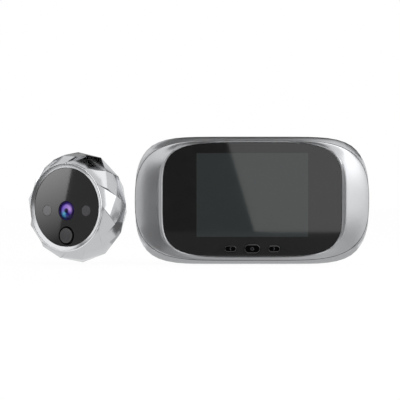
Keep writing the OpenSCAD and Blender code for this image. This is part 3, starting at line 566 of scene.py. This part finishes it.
def bezel_outlines(monitor):
    """Outlines of the bezel and of the seal in its parting line: height, half width, half height, powers
    and rise of each."""
    rim, body, glass = (Vector(powers) for powers in (
        monitor.edge_powers, monitor.lip_powers, monitor.glass_powers))
    front, glass_front, glass_back = -BEZEL_LOW.y, -GLASS_LOW.y, -GLASS_HIGH.y
    part = front - monitor.bezel_rise / MM
    edge_a = (BEZEL_HIGH.x - BEZEL_LOW.x) / 2
    edge_b = BEZEL_HIGH.z
    glass_a = (GLASS_HIGH.x - GLASS_LOW.x) / 2
    glass_b = (GLASS_HIGH.z - GLASS_LOW.z) / 2
    rise = (GLASS_HIGH.z + GLASS_LOW.z) / 2
    lip_a = glass_a + monitor.lip_side / MM
    lip_b = glass_b + monitor.lip_top / MM
    groove = monitor.groove / MM
    edge = monitor.edge_height / MM
    lip_round = monitor.lip_round / MM
    proud = monitor.seal_proud / MM
    # Slope of the lip, chamfer of the groove, play round the glass, ledge and wall, room for the seal
    slope, chamfer, play, ledge, ledge_depth, wall, room = 0.25, 0.1, 0.15, 1.1, 1.3, 1.8, 0.02
    # At the sides and at the top: lean of the lip's rounding, flat of its edges, spread of the back
    lean_a, lean_b, flat_a, flat_b, back_a, back_b = 0.6, 0.3, 0.75, 0.34, 3, -1.5
    lip_z = front - slope

    def at_edge(*places):
        """Outlines like the edge's, each at a height over the parting line and a step outwards."""
        return [(part + up, edge_a + out, edge_b + out, rim, 0) for up, out in places]

    rings = at_edge((0, -groove), (groove, -groove), (groove, -chamfer), (groove + chamfer, 0))
    steps = 20
    for step in range(steps + 1):
        inwards = step / steps
        rings.append((
            part + edge + (lip_z - part - edge - lip_round) * inwards ** 2,
            edge_a + (lip_a - edge_a) * inwards,
            edge_b + (lip_b - edge_b) * inwards,
            rim.lerp(body, inwards), rise * inwards))
    steps = 8
    for step in range(1, steps + 1):
        swing = math.radians(90 * step / steps)
        rings.append((
            lip_z - lip_round + lip_round * math.sin(swing),
            lip_a - lean_a * (1 - math.cos(swing)), lip_b - lean_b * (1 - math.cos(swing)),
            body, rise))
    rings += [
        (lip_z + room, lip_a - flat_a, lip_b - flat_b, body, rise),
        (front, glass_a + flat_a, glass_b + flat_b, glass, rise),
    ]
    # The lip's edge eases into the glass seat: height over the glass, and room at side and top
    for up, aside, above in ((0.06, 0.12, 0.05), (0.01, 0.03, 0.02), (-0.08, 0, 0)):
        rings.append((
            glass_front + up, glass_a + play + aside, glass_b + play + above, glass, rise))
    for down, out in ((0, play), (0, -ledge), (ledge_depth, -ledge)):
        rings.append((glass_back - down, glass_a + out, glass_b + out, glass, rise))
    rings += [
        (glass_back - ledge_depth, lip_a - wall, lip_b - wall, body, rise),
        (part, lip_a + back_a, lip_b + back_b, body, rise / 2),
    ]
    seal_rings = at_edge(
        (room, -groove), (room, proud), (groove - room, proud), (groove - room, -groove))
    return rings, seal_rings


class DOORCAM_OT_bezel(Operator):
    """Moulds the front bezel, from the cheeks up to the lip and in to the glass ledge, and its seal, a
    dark ring that is partly painted shade of the parting gap
    """
    bl_idname = "doorcam.bezel"
    bl_label = "Front bezel"

    def execute(self, context):
        monitor = settings()[0]
        rings, seal_rings = bezel_outlines(monitor)
        bm = swept(rings, monitor.ring_points)
        piece = keep(bm, "bezel_moulding", "indoor_unit", MONITOR, "silver")
        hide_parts("front_bezel")
        # The seal is partly real and partly painted shade: its dark rubber stands where the parting gap
        # shows dark
        bm = swept(seal_rings, monitor.ring_points)
        seal = keep(bm, "parting_seal_gap_shade", "indoor_unit", MONITOR, "rubber")
        return {"FINISHED"}


def pill(bm, width, height, low, high, points=48):
    """Bar with half round ends between two heights; returns its front face."""
    made = bmesh.ops.create_circle(bm, cap_ends=True, segments=points, radius=height / 2)
    bmesh.ops.rotate(bm, verts=made["verts"], matrix=Matrix.Rotation(math.pi / points, 3, "Z"))
    for vertex in made["verts"]:
        vertex.co.x += math.copysign((width - height) / 2, vertex.co.x)
        vertex.co.z = low
    back = made["verts"][0].link_faces[0]
    raised = bmesh.ops.extrude_face_region(bm, geom=[back], use_keep_orig=True)["geom"]
    bmesh.ops.translate(bm, vec=(0, 0, high - low),
                        verts=[v for v in raised if isinstance(v, bmesh.types.BMVert)])
    return next(f for f in raised if isinstance(f, bmesh.types.BMFace))


def lathe(bm, profile, steps):
    """Turns a profile of (radius, height) points about the Z axis, with closed poles."""
    points = [bm.verts.new((radius, 0, height)) for radius, height in profile]
    edges = [bm.edges.new(pair) for pair in zip(points, points[1:])]
    bmesh.ops.spin(bm, geom=points + edges, axis=(0, 0, 1), angle=math.tau, steps=steps,
                   use_merge=True)
    bmesh.ops.remove_doubles(bm, verts=bm.verts, dist=MERGED_MM)


def key_sign(name):
    """Generic sign on a key: an arrow to the left, power, or an arrow to the right."""
    bm = bmesh.new()
    stroke, ink = 0.24, 0.04
    if name == "power_key":
        ring, start, sweep = 0.6, math.radians(125), math.radians(290)
        section = [bm.verts.new((r, 0, z)) for r, z in
                   ((ring, 0), (ring + stroke, 0), (ring + stroke, ink), (ring, ink))]
        face = bm.faces.new(section)
        bmesh.ops.rotate(bm, verts=section, matrix=Matrix.Rotation(start, 3, "Z"))
        bmesh.ops.spin(bm, geom=[face, *face.edges, *face.verts], axis=(0, 0, 1), angle=sweep,
                       steps=40)
        bars = [(0.55, 0.0, 0.7)]  # height of the middle, turn, length
    else:
        way, arm, lean, part = -1 if name == "left_key" else 1, 1.15, math.radians(38), 0.3
        bars = [(up * arm * part, -way * up * lean, arm) for up in (1, -1)]
    for height, turn, size in bars:
        bar = bmesh.ops.create_cube(bm, size=1)["verts"]
        bmesh.ops.scale(bm, vec=(stroke, size, ink), verts=bar)
        bmesh.ops.rotate(bm, verts=bar, matrix=Matrix.Rotation(-turn, 3, "Z"))
        bmesh.ops.translate(bm, vec=(0, height, ink / 2), verts=bar)
    return bm


class DOORCAM_OT_keys(Operator):
    """Moulds the three dished keys and prints their signs"""
    bl_idname = "doorcam.keys"
    bl_label = "Keys"

    def execute(self, context):
        flange, flange_depth, play, stem = 0.5, 0.7, 0.3, 0.9
        edge, land, slope, dish, sunk = 0.16, 0.1, 0.3, 0.2, 0.02
        shoulder = -GLASS_HIGH.y - play
        back = shoulder - flange_depth
        for name in ("left_key", "power_key", "right_key"):
            low, high = mm_box(name)
            width, height = high.x - low.x - 2 * flange, high.z - low.z - 2 * flange
            place = Matrix.Translation(((low.x + high.x) / 2 - MONITOR_X, (low.z + high.z) / 2, 0))
            top, root = -low.y, -high.y
            bm = bmesh.new()
            lathe(bm, [(0, root), (stem, root), (stem, back), (0, back)], steps=32)
            pill(bm, width + 2 * flange, height + 2 * flange, back, shoulder)
            face = pill(bm, width, height, shoulder, top)
            bmesh.ops.bevel(bm, geom=list(face.edges), offset=edge, segments=4, profile=0.5,
                            affect="EDGES", material=-1)
            face = max(bm.faces, key=lambda f: (round(f.calc_center_median().z, 4), f.calc_area()))
            bmesh.ops.inset_region(bm, faces=[face], thickness=land, depth=0)
            dished = bmesh.ops.inset_region(bm, faces=[face], thickness=slope, depth=-dish)["faces"]
            # The dishes take the dull black, which is partly painted shade
            for dull in (face, *dished):
                dull.material_index = 1
            piece = keep(bm, name + "_cap", name, MONITOR @ place, "key", "seat")
            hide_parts(name)
            place @= Matrix.Translation((0, 0, top - dish - sunk))
            mark = keep(key_sign(name), name + "_sign", name, MONITOR @ place, "ink", sharp=None)
        return {"FINISHED"}


def turned(name, node, body, profile, place, finish, steps=96):
    """Turns a profile in the outdoor unit's frame into a piece, which may stand for a CAD node."""
    bm = bmesh.new()
    lathe(bm, profile, steps)
    piece = keep(bm, name, body, OUTDOOR @ Matrix.Translation((place.x, place.y, 0)), finish)
    if node:
        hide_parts(node)


def arc(middle, radius, start, end, steps=6):
    """Points of an arc in a profile, between two angles in degrees."""
    turns = (math.radians(start + (end - start) * i / steps) for i in range(steps + 1))
    return [(middle[0] + radius * math.cos(t), middle[1] + radius * math.sin(t)) for t in turns]


def ball_of(radius, height):
    """Radius of a round cap's ball, and the angle in degrees from the cap's middle to its rim."""
    ball = (radius ** 2 + height ** 2) / (2 * height)
    return ball, math.degrees(math.asin(radius / ball))


class DOORCAM_OT_lens(Operator):
    """Grinds the domed front lens and turns the ring that clamps it"""
    bl_idname = "doorcam.lens"
    bl_label = "Front lens"

    def execute(self, context):
        top, radius = outdoor_depth("front_lens"), radius_of("front_lens")
        place = outdoor_middle("front_lens")
        crown, base, bead, bead_out = 0.9, 0.8, 0.24, 0.34
        ball, reach = ball_of(radius, crown)
        back = top - crown - base
        profile = arc((0, top - ball), ball, 90, 90 - reach, 14) + [(radius, back), (0, back)]
        turned("coated_lens", "front_lens", "door_side", profile, place, "lens", 64)
        seat, middle = outdoor_depth("lens_barrel"), radius + bead_out
        profile = arc((middle, seat), bead, 0, 180, 10) + [(middle + bead, seat)]
        turned("lens_clamp", None, "door_side", profile, place, "clamp")
        return {"FINISHED"}


class DOORCAM_OT_ring(Operator):
    """Turns the trim ring that slopes in to the round face"""
    bl_idname = "doorcam.ring"
    bl_label = "Trim ring"

    def execute(self, context):
        play, depth, wall, bead, proud = 0.15, 1.5, 0.52, 0.4, 0.05
        outer, top = radius_of("face_ring"), outdoor_depth("face_ring")
        inner, face = radius_of("face_cover") + play, outdoor_depth("face_cover")
        seat = outdoor_depth("faceted_shell")
        foot, skirt = face - depth, inner + wall
        slope = math.degrees(math.atan2(top - face, outer - bead - inner))
        profile = [(inner, foot), (inner, face + proud)]
        profile += arc((outer - bead, top - bead), bead, 90 + slope, 0, 10)
        profile += [(outer, seat), (skirt, seat), (skirt, foot), (inner, foot)]
        turned("trim_ring", "face_ring", "door_side", profile, Vector(), "chrome", 192)
        return {"FINISHED"}


class DOORCAM_OT_bell(Operator):
    """Moulds the bell button with its rounded edge and shallow dish, and the recess round it"""
    bl_idname = "doorcam.bell"
    bl_label = "Bell button"

    def execute(self, context):
        panel, play, travel, flange_width, flange_depth = 1.5, 0.3, 0.9, 0.5, 1
        stem, edge, dish = 1.6, 0.45, 0.5
        place, face = outdoor_middle("bell_button"), outdoor_depth("face_cover")
        top, flange = outdoor_depth("bell_button"), radius_of("bell_button")
        shoulder, root = face - panel - play, outdoor_depth("bell_switch") + travel
        back, cap = shoulder - flange_depth, flange - flange_width
        ball, reach = ball_of(cap - edge, dish)
        profile = [(0, root), (stem, root), (stem, back), (flange, back), (flange, shoulder),
                   (cap, shoulder)]
        profile += arc((cap - edge, top - edge), edge, 0, 90)
        profile += arc((0, top - dish + ball), ball, -90 + reach, -90, 10)[1:]
        turned("bell_cap", "bell_button", "bell_button", profile, place, "bell")
        # The recess from the face in to the button, in the dull black that is partly painted shade
        rim, throat, deep, sunk, lip = 4.86, cap + 0.25, 0.55, 0.04, 0.05
        profile = [(rim, face - sunk), (throat, face - deep + lip), (throat, face - deep),
                   (rim, face - deep), (rim, face - sunk)]
        turned("bell_seat", None, "door_side", profile, place, "seat")
        return {"FINISHED"}


class DOORCAM_OT_insert(Operator):
    """Cuts the thread of the brass insert that takes the hollow fixing bolt"""
    bl_idname = "doorcam.insert"
    bl_label = "Threaded insert"

    def execute(self, context):
        plate_depth, collar_width, collar_depth, chamfer = 2, 1.6, 1, 0.2
        bore, pitch, depth, crest = 5.5, 1.0, 0.5, 0.15
        top, collar = outdoor_depth("threaded_socket"), radius_of("threaded_socket")
        gasket = outdoor_depth("door_gasket")
        foot, plate, tube = gasket / 2, gasket + plate_depth, collar - collar_width
        profile = [(bore + depth, foot), (tube - chamfer, foot), (tube, foot + chamfer), (tube, plate),
                   (collar, plate), (collar, plate + collar_depth), (tube, plate + collar_depth),
                   (tube, top), (bore, top)]
        for turn in range(int((top - foot - depth) / pitch)):
            height = top - pitch * turn
            profile += [(bore, height - crest), (bore + depth, height - pitch / 2),
                        (bore, height - (pitch - crest))]
        profile += [(bore, foot + depth), (bore + depth, foot)]
        turned("threaded_insert", "threaded_socket", "door_side", profile, Vector(), "brass")
        return {"FINISHED"}


class DOORCAM_OT_cells(Operator):
    """Turns the battery cells: steel ends, a blue grey sleeve and a white band at the plus end"""
    bl_idname = "doorcam.cells"
    bl_label = "Battery cells"

    def execute(self, context):
        low, high = mm_box("battery_cells")
        across = high.y - low.y
        count = round((high.x - low.x) / across)
        step = (high.x - low.x - across) / (count - 1)
        radius, half = across / 2, (high.z - low.z) / 2
        # The sleeve folds over both ends and leaves the nub and the rim of the minus end bare
        shoulder, nub, band, ease, nub_ease = half - 1.2, 1.9, 11.0, 0.15, 0.25
        top_fold, end_fold, lift, turn_in, rim = 0.5, 0.7, 0.1, 0.4, 0.9
        profiles = (
            ("band", [(radius - top_fold, shoulder), (radius - ease, shoulder),
                      (radius, shoulder - 2 * ease), (radius, shoulder - band)]),
            ("sleeve", [(radius, shoulder - band), (radius, -half + turn_in),
                        (radius - ease, -half + lift), (radius - end_fold, -half + lift)]),
            ("spring", [(0, half), (nub - nub_ease, half), (nub, half - nub_ease), (nub, shoulder),
                        (radius - top_fold, shoulder)]),
            ("spring", [(radius - end_fold, -half + lift), (radius - rim, -half), (0, -half)]),
        )
        bm = bmesh.new()
        finishes = ("band", "sleeve", "spring")
        for index in range(count):
            turn = Matrix.Rotation(math.radians(-90 if index % 2 == 0 else 90), 4, "X")
            place = Matrix.Translation((low.x - MONITOR_X + radius + index * step, (low.z + high.z) / 2,
                                        -(low.y + high.y) / 2)) @ turn
            for finish, profile in profiles:
                placed = set(bm.verts)
                lathe(bm, profile, steps=48)
                fresh = [vertex for vertex in bm.verts if vertex not in placed]
                for face in {face for vertex in fresh for face in vertex.link_faces}:
                    face.material_index = finishes.index(finish)
                bmesh.ops.transform(bm, matrix=place, verts=fresh)
        bmesh.ops.remove_doubles(bm, verts=bm.verts, dist=MERGED_MM)
        piece = keep(bm, "sleeved_cells", "indoor_unit", MONITOR, *finishes)
        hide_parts("battery_cells")
        return {"FINISHED"}


class DOORCAM_OT_grip(Operator):
    """Moulds the grip ribs on the free edge of the battery door"""
    bl_idname = "doorcam.grip"
    bl_label = "Battery door grip"

    def execute(self, context):
        low, high = mm_box("battery_door")
        count, pitch, proud, length, thickness, inset, edge = 5, 1.6, 0.35, 16.0, 0.7, 2.5, 0.2
        middle = (low.x + high.x) / 2 - MONITOR_X
        bm = bmesh.new()
        for index in range(count):
            bar = bmesh.ops.create_cube(bm, size=1)["verts"]
            bmesh.ops.scale(bm, vec=(length, thickness, 2 * proud), verts=bar)
            bmesh.ops.translate(bm, vec=(middle, low.z + inset + index * pitch, -high.y), verts=bar)
        bmesh.ops.bevel(bm, geom=list(bm.edges), offset=edge, segments=3, profile=0.5, affect="EDGES",
                        material=-1)
        piece = keep(bm, "door_grip", "battery_door", MONITOR, "silver")
        return {"FINISHED"}


def card(name, corners, bright, dim=None, way=None):
    """A flat card beside the set that only reflections see; it may brighten from dim along a way."""
    material = bpy.data.materials.new(name)
    tree = empty_tree(material)
    glow = add(tree, "Emission", {"Color": (1, 1, 1, 1), "Strength": bright})
    add(tree, "OutputMaterial", {"Surface": glow})
    if way:
        place = add(tree, "TexCoord").outputs["Object"]
        along = add(tree, "VectorMath", {0: place, 1: way}, operation="DOT_PRODUCT")
        ends = [Vector(point).dot(Vector(way)) for point in corners]
        add(tree, "MapRange", {
            "Value": along.outputs["Value"], 1: min(ends), 2: max(ends), 3: dim, 4: bright},
            glow.inputs["Strength"])
    bm = bmesh.new()
    bmesh.ops.contextual_create(bm, geom=[bm.verts.new(point) for point in corners])
    piece = add_object(bm, name, material)
    piece.visible_camera = piece.visible_diffuse = False
    piece.visible_shadow = piece.visible_transmission = False


def beside_face(eye, outline, stretch):
    """Corners of a card that the round face mirrors to the camera at the places in outline, in mm."""
    height = outdoor_depth("face_cover")
    middle = OUTDOOR @ Vector((0, 0, height))
    mirrored = eye - 2 * (eye - middle).dot(DOORWARD) * DOORWARD
    return [mirrored + stretch * (OUTDOOR @ Vector((x, y, height)) - mirrored) for x, y in outline]


def flat(z, x0, x1, y0, y1):
    """Corners of a level card."""
    return [(x0, y0, z), (x1, y0, z), (x1, y1, z), (x0, y1, z)]


def upright(y, x0, x1, z0, z1):
    """Corners of a card that stands across the view."""
    return [(x0, y, z0), (x1, y, z0), (x1, y, z1), (x0, y, z1)]


def reflection_cards(eye):
    """Cards round the set: corners in metres, brightness, and for some a dim end and the way from it."""
    left, right, near, far = eye.x - 0.045, eye.x + 0.16, eye.y + 0.01, eye.y - 0.02
    ground = CAD_BOX[0][2] + 0.0003
    return (
        # Round the camera, for the front glass
        ("front_dark", upright(far, left, right, -0.064, 0.064), 0.0),
        ("front_window", [
            (eye.x + 0.0558, near, -0.032), (right, near, -0.036), (right, near, 0.066),
            (eye.x + 0.0265, near, 0.066)], 1.5),
        # On the floor, for the lower sides of the dome and the bezel
        ("low_grey", flat(ground, -0.7, 0.7, -1.2, -0.16), 0.16),
        ("right_floor", flat(ground, 0.06, 0.3, -0.16, -0.02), 0.46),
        ("near_floor", [
            (-0.125, -0.16, ground), (-0.062, -0.16, ground), (-0.058, -0.05, ground),
            (-0.1, -0.05, ground)], 0.3),
        ("left_floor", [
            (-0.42, -0.95, ground), (-0.65, 0.15, ground), (-0.16, 0.0, ground),
            (-0.1, -0.1, ground)], 0.1),
        ("under_front", flat(ground, -0.033, 0.085, -0.03, -0.016), 0.3, 0.7, (-1, 0, 0)),
        ("under_rear", flat(ground, -0.045, 0.085, -0.016, 0.04), 0.6),
        ("corner_dark", [
            (-0.0305, -0.038, ground), (-0.0305, -0.0185, ground), (-0.0387, -0.0185, -0.0145),
            (-0.0387, -0.038, -0.0145)], 0.17),
        # Above and behind, for the upper sides, and one beside the right lip
        ("overhead_dark", [
            (-0.34, -0.1, 0.6), (-0.04, -0.1, 0.6), (0.0, 0.32, 0.6), (-0.34, 0.3, 0.6)], 0.0),
        ("top_glow", flat(0.62, -0.15, 0.25, -0.45, -0.13), 1.6),
        ("back_dark", flat(0.3, -0.08, 0.075, 0.12, 1.0), 0.0),
        ("brow_dark", upright(0.022, -0.012, 0.12, 0.034, 0.1), 0.0),
        ("brow_grey", flat(0.6, 0.0, 0.16, 0.1, 0.27), 0.3),
        ("lip_dark", upright(-0.036, 0.0695, 0.0775, -0.024, 0.026), 0.0),
        ("back_grey", [
            (-0.5, 0.7, 0.0), (-0.02, 0.7, 0.0), (-0.02, 0.7, 1.1), (-0.2, 0.7, 1.1),
            (-0.2, 0.7, 0.26), (-0.5, 0.7, 0.23)], 0.4),
        # At both sides, for the dome's facets and the cheeks
        ("left_dark", [
            (-0.4, -0.95, -0.03), (-0.65, 0.15, -0.03), (-0.65, 0.15, 0.32), (-0.4, -0.95, 0.19)], 0.13),
        ("right_glow", [
            (0.16, -0.9, 0.0), (0.95, -0.35, 0.0), (0.95, -0.35, 0.75), (0.16, -0.9, 0.75)],
         2.6, 1.78, (0, 0, 1)),
        # For the round face
        ("face_shade", beside_face(eye, [(-27, -30), (27, -30), (27, 27), (-27, 27)], 1.3), 0.4),
        ("face_glow", beside_face(eye, [(3.6, 21), (-6.8, -21), (-25, -21), (-25, 21)], 1.29),
         6.2, 0.0, (-0.35, 0, 0.94)),
    )


def seen(tree):
    """1 for what the camera sees, also in metal and glass, and 0 for light that falls on the set."""
    path = add(tree, "LightPath")
    most = path.outputs["Is Camera Ray"]
    for kind in ("Is Glossy Ray", "Is Transmission Ray"):
        most = calc(tree, "MAXIMUM", most, path.outputs[kind])
    return most


def lay_floor():
    """The pale floor: mostly its own white where it is seen, and lit for the rest, with the shadow."""
    size, drop, own_share = 6, 0.0002, 0.9
    own_white = 1.04  # makes up for the lit rest, so that the floor is as white as the world behind it
    material, tree, shader, _ = surface(
        "white_floor", {"Base Color": linear("#f4f4f4"), "Roughness": 0.9})
    glow = add(tree, "Emission", {"Color": (1, 1, 1, 1), "Strength": own_white})
    part = calc(tree, "MULTIPLY", seen(tree), own_share)
    add(tree, "MixShader", {0: part, 1: shader, 2: glow},
        tree.nodes["Material Output"].inputs["Surface"])
    bm = bmesh.new()
    bmesh.ops.create_grid(bm, x_segments=1, y_segments=1, size=size)
    bmesh.ops.translate(bm, vec=(0, 0, CAD_BOX[0][2] - drop), verts=bm.verts)
    floor = add_object(bm, "floor", material)


class DOORCAM_OT_stage(Operator):
    """Sets the camera, the white floor, the soft light and the reflection cards"""
    bl_idname = "doorcam.stage"
    bl_label = "Stage"

    def execute(self, context):
        scene = context.scene
        scene.view_settings.view_transform = "Standard"
        aside, stand_off, above = -0.007, 0.9, 0.0002
        eye = Vector((aside, BEZEL_LOW.y * MM - stand_off, above))
        camera = bpy.data.objects.new("camera", bpy.data.cameras.new("camera"))
        scene.collection.objects.link(camera)
        camera.data.lens = 157
        camera.data.sensor_width = 36
        camera.data.clip_end = 20
        camera.location = eye
        camera.rotation_euler = (math.radians(90), 0, 0)
        scene.camera = camera
        lay_floor()
        light, white = 0.55, 1.0
        scene.world = bpy.data.worlds.new("studio")
        tree = empty_tree(scene.world)
        level = add(tree, "MapRange", {"Value": seen(tree), 3: light, 4: white})
        back = add(tree, "Background", {"Color": (1, 1, 1, 1), "Strength": level})
        add(tree, "OutputWorld", {"Surface": back})
        lamp = bpy.data.lights.new("key", "AREA")
        lamp.energy = 6
        lamp.shape = "RECTANGLE"
        lamp.size = 1.2
        lamp.size_y = 1.0
        key = bpy.data.objects.new("key", lamp)
        scene.collection.objects.link(key)
        key.location = (0.75, -0.7, 0.55)
        key.visible_glossy = False
        key.rotation_euler = (-key.location).to_track_quat("-Z", "Y").to_euler()
        for row in reflection_cards(eye):
            card(*row)
        return {"FINISHED"}


class DOORCAM_PT_sidebar(Panel):
    """Lists the settings and the build steps"""
    bl_idname = "DOORCAM_PT_sidebar"
    bl_label = "Door camera"
    bl_space_type = "VIEW_3D"
    bl_region_type = "UI"
    bl_category = "Door camera"

    def draw(self, context):
        for group in settings():
            for name in group.bl_rna.properties.keys():
                if name not in ("rna_type", "name"):
                    self.layout.prop(group, name)
        for step in STEPS:
            self.layout.operator(step.bl_idname)


STEPS = (
    DOORCAM_OT_finishes, DOORCAM_OT_bezel, DOORCAM_OT_keys, DOORCAM_OT_lens, DOORCAM_OT_ring,
    DOORCAM_OT_bell, DOORCAM_OT_insert, DOORCAM_OT_cells, DOORCAM_OT_grip, DOORCAM_OT_stage,
)
CLASSES = (MonitorSettings, FinishSettings, *STEPS, DOORCAM_PT_sidebar)


def register():
    for cls in CLASSES:
        bpy.utils.register_class(cls)
    bpy.types.Scene.door_camera_monitor = PointerProperty(type=MonitorSettings)
    bpy.types.Scene.door_camera_finish = PointerProperty(type=FinishSettings)


def unregister():
    del bpy.types.Scene.door_camera_finish
    del bpy.types.Scene.door_camera_monitor
    for cls in reversed(CLASSES):
        bpy.utils.unregister_class(cls)


def main():
    register()
    bpy.ops.doorcam.finishes()
    bpy.ops.doorcam.bezel()
    bpy.ops.doorcam.keys()
    bpy.ops.doorcam.lens()
    bpy.ops.doorcam.ring()
    bpy.ops.doorcam.bell()
    bpy.ops.doorcam.insert()
    bpy.ops.doorcam.cells()
    bpy.ops.doorcam.grip()
    bpy.ops.doorcam.stage()


if __name__ == "__main__":
    main()
